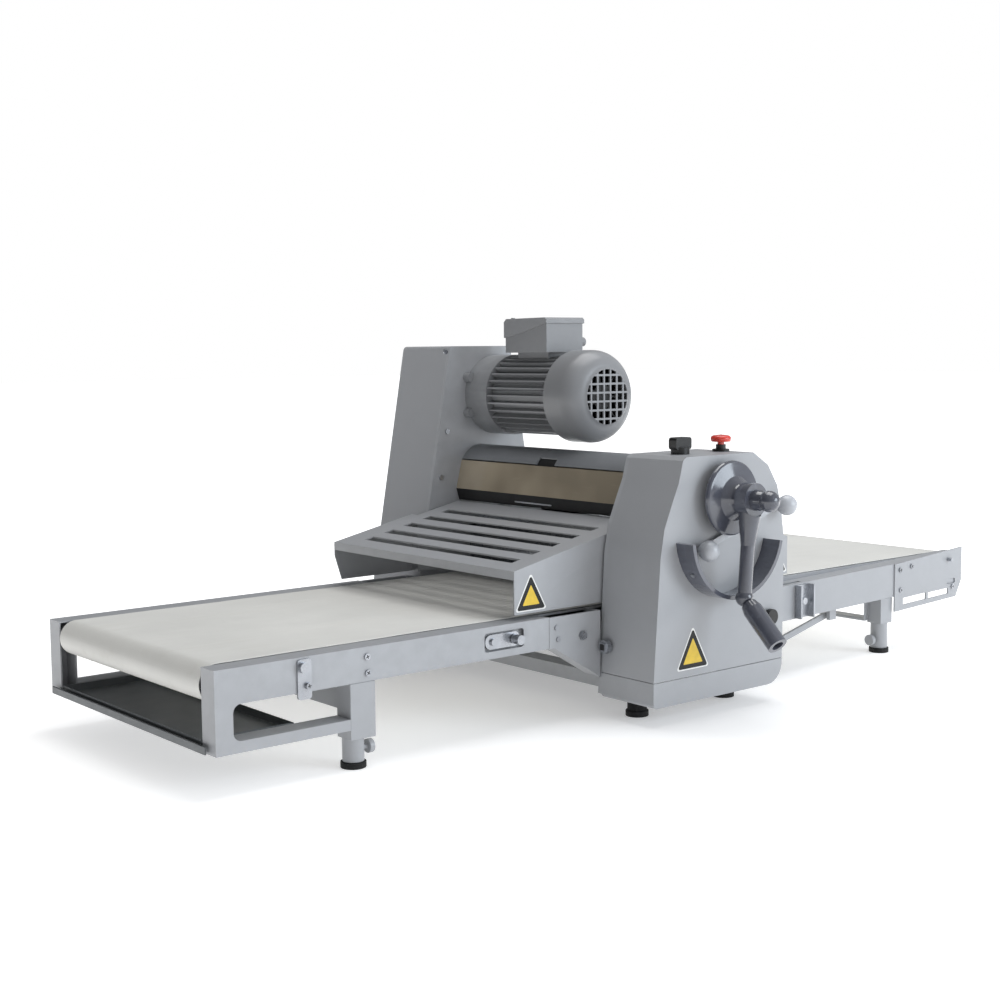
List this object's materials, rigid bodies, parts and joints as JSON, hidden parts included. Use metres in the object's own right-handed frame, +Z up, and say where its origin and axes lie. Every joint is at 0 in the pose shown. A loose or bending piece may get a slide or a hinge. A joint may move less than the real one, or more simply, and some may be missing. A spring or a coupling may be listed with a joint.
{
  "type": "dough sheeter",
  "caption": "Bench-top dough sheeter with two belt tables, an adjustable pair of sheeting rollers, a thickness lever, slotted guards and a top motor.",
  "frame": {"origin": "on the bench, at the middle of the overall length and width", "axes": "+X along the belts towards the folding table, +Y towards the drive housing, +Z up"},
  "size_m": [1.8258, 0.9634, 0.693],
  "materials": {
    "alu": "polished",
    "belt": "off-white coated woven belting",
    "black": "black",
    "knob": "pale grey",
    "lever": "dark slate moulding",
    "motor_paint": "satin mid grey enamel on ribbed casting",
    "paint": "satin silver-grey enamel",
    "red": "red",
    "rubber": "black",
    "slide": "off-white food-grade sheet",
    "steel": "ground and polished",
    "tint": "bronze tinted, glossy",
    "tray_paint": "satin dark grey",
    "zinc": "bright zinc"
  },
  "bodies": {
    "base": {"near_side_plate": "paint", "far_side_plate": "paint", "base_members": "paint", "gusset_brackets": "paint", "near_cover": "paint", "far_cover": "paint", "housing_feet": "rubber", "roller_hood": "paint", "roller_shields": "tint", "shield_seals": "black", "slide_plate": "slide", "lower_scrapers": "steel", "motor_body": "motor_paint", "fan_cover": "motor_paint", "terminal_box": "motor_paint", "motor_belt": "rubber", "roller_chain": "steel", "conveyor_chains": "steel", "scale_band": "lever", "housing_screws": "zinc", "estop_base": "black", "left_table_frame": "paint", "left_leg_frame": "paint", "left_feet": "paint", "left_pads": "rubber", "left_fittings": "zinc", "left_belt": "belt"},
    "thickness_lever": {"lever_dial": "lever", "lever_arm": "lever", "lever_grip": "lever", "adjust_shaft": "steel"},
    "direction_rocker": {"direction_rocker": "knob"},
    "carriage": {"bearing_blocks": "steel", "lift_racks": "steel", "scraper_beam": "steel"},
    "upper_roller": {"upper_roller": "steel"},
    "lower_roller": {"lower_roller": "steel"},
    "counter_shaft": {"counter_shaft": "steel"},
    "motor_rotor": {"motor_rotor": "steel", "motor_fan": "black"},
    "left_guard": {"left_guard": "paint"},
    "right_guard": {"right_guard": "paint"},
    "cover_lock": {"cover_lock": "zinc"},
    "estop_head": {"estop_head": "red"},
    "selector_switch": {"selector_switch": "black"},
    "start_button": {"start_button": "black"},
    "lock_pin": {"lock_pin": "zinc"},
    "left_drive_roller": {"left_drive_roller": "alu"},
    "left_end_roller": {"left_end_roller": "alu"},
    "right_drive_roller": {"right_drive_roller": "alu"},
    "right_end_roller": {"right_end_roller": "alu"},
    "left_tray": {"left_tray": "tray_paint"},
    "right_table": {"right_table_frame": "paint", "right_end_plates": "paint", "right_leg_frame": "paint", "right_feet": "paint", "right_pads": "rubber", "right_fittings": "zinc", "right_belt": "belt"},
    "brace": {"brace": "paint"}
  },
  "joints": [
    {"name": "thickness_lever_turn", "type": "hinge", "parent": "base", "child": "thickness_lever", "pos_m": [0.004, -0.328, 0.377], "axis": [0, 1, 0], "range_deg": [-60, 60]},
    {"name": "roller_gap_lift", "type": "slide", "parent": "base", "child": "carriage", "axis": [0, 0, 1], "range_m": [-0.0145, 0.0145], "deforming": ["roller_chain"]},
    {"name": "upper_roller_spin", "type": "hinge", "parent": "carriage", "child": "upper_roller", "pos_m": [0, 0.072, 0.239], "axis": [0, 1, 0], "continuous": true},
    {"name": "lower_roller_spin", "type": "hinge", "parent": "base", "child": "lower_roller", "pos_m": [0, 0.072, 0.152], "axis": [0, 1, 0], "continuous": true},
    {"name": "counter_shaft_spin", "type": "hinge", "parent": "base", "child": "counter_shaft", "pos_m": [0.052, 0.402, 0.33], "axis": [0, 1, 0], "continuous": true},
    {"name": "motor_spin", "type": "hinge", "parent": "base", "child": "motor_rotor", "pos_m": [0.045, 0.172, 0.541], "axis": [0, 1, 0], "continuous": true},
    {"name": "left_drive_roller_spin", "type": "hinge", "parent": "base", "child": "left_drive_roller", "pos_m": [-0.066, 0.072, 0.164], "axis": [0, 1, 0], "continuous": true},
    {"name": "left_end_roller_spin", "type": "hinge", "parent": "base", "child": "left_end_roller", "pos_m": [-0.881, 0.072, 0.159], "axis": [0, 1, 0], "continuous": true},
    {"name": "right_drive_roller_spin", "type": "hinge", "parent": "right_table", "child": "right_drive_roller", "pos_m": [0.271, 0.072, 0.159], "axis": [0, 1, 0], "continuous": true},
    {"name": "right_end_roller_spin", "type": "hinge", "parent": "right_table", "child": "right_end_roller", "pos_m": [0.881, 0.072, 0.159], "axis": [0, 1, 0], "continuous": true},
    {"name": "direction_rocker_tilt", "type": "hinge", "parent": "base", "child": "direction_rocker", "pos_m": [0.044, -0.348, 0.323], "axis": [0, 1, 0], "range_deg": [-8, 8]},
    {"name": "left_guard_lift", "type": "hinge", "parent": "base", "child": "left_guard", "pos_m": [-0.075, 0.072, 0.305], "axis": [0, 1, 0], "range_deg": [0, 50]},
    {"name": "right_guard_lift", "type": "hinge", "parent": "base", "child": "right_guard", "pos_m": [0.075, 0.072, 0.305], "axis": [0, -1, 0], "range_deg": [0, 43]},
    {"name": "right_table_fold", "type": "hinge", "parent": "base", "child": "right_table", "pos_m": [0.271, 0.072, 0.159], "axis": [0, -1, 0], "range_deg": [0, 36]},
    {"name": "brace_swing", "type": "hinge", "parent": "right_table", "child": "brace", "pos_m": [0.506, 0.072, 0.092], "axis": [0, 1, 0], "range_deg": [0, 12]},
    {"name": "left_tray_pull", "type": "slide", "parent": "base", "child": "left_tray", "axis": [-1, 0, 0], "range_m": [0, 0.14]},
    {"name": "cover_lock_turn", "type": "hinge", "parent": "base", "child": "cover_lock", "pos_m": [-0.163, -0.224, 0.125], "axis": [1, 0, 0], "range_deg": [0, 90]},
    {"name": "estop_press", "type": "slide", "parent": "base", "child": "estop_head", "axis": [0, 0, -1], "range_m": [0, 0.004], "stiffness_N_per_m": 600},
    {"name": "selector_turn", "type": "hinge", "parent": "base", "child": "selector_switch", "pos_m": [-0.037, -0.273, 0.46], "axis": [0, 0, 1], "range_deg": [-45, 45]},
    {"name": "start_press", "type": "slide", "parent": "base", "child": "start_button", "axis": [0, 1, 0], "range_m": [0, 0.0028], "stiffness_N_per_m": 600},
    {"name": "lock_pin_pull", "type": "slide", "parent": "base", "child": "lock_pin", "axis": [0, -1, 0], "range_m": [0, 0.006], "stiffness_N_per_m": 500}
  ],
  "couplings": [
    {"joint": "thickness_lever_turn", "follows": "roller_gap_lift", "rad_per_m": -71.429},
    {"joint": "upper_roller_spin", "follows": "lower_roller_spin", "ratio": -1},
    {"joint": "counter_shaft_spin", "follows": "lower_roller_spin", "ratio": 1.625},
    {"joint": "motor_spin", "follows": "lower_roller_spin", "ratio": 4.875},
    {"joint": "left_drive_roller_spin", "follows": "lower_roller_spin", "ratio": 1.4286},
    {"joint": "right_drive_roller_spin", "follows": "lower_roller_spin", "ratio": 1.4286},
    {"joint": "left_end_roller_spin", "follows": "lower_roller_spin", "ratio": 1.164},
    {"joint": "right_end_roller_spin", "follows": "lower_roller_spin", "ratio": 1.4286}
  ]
}
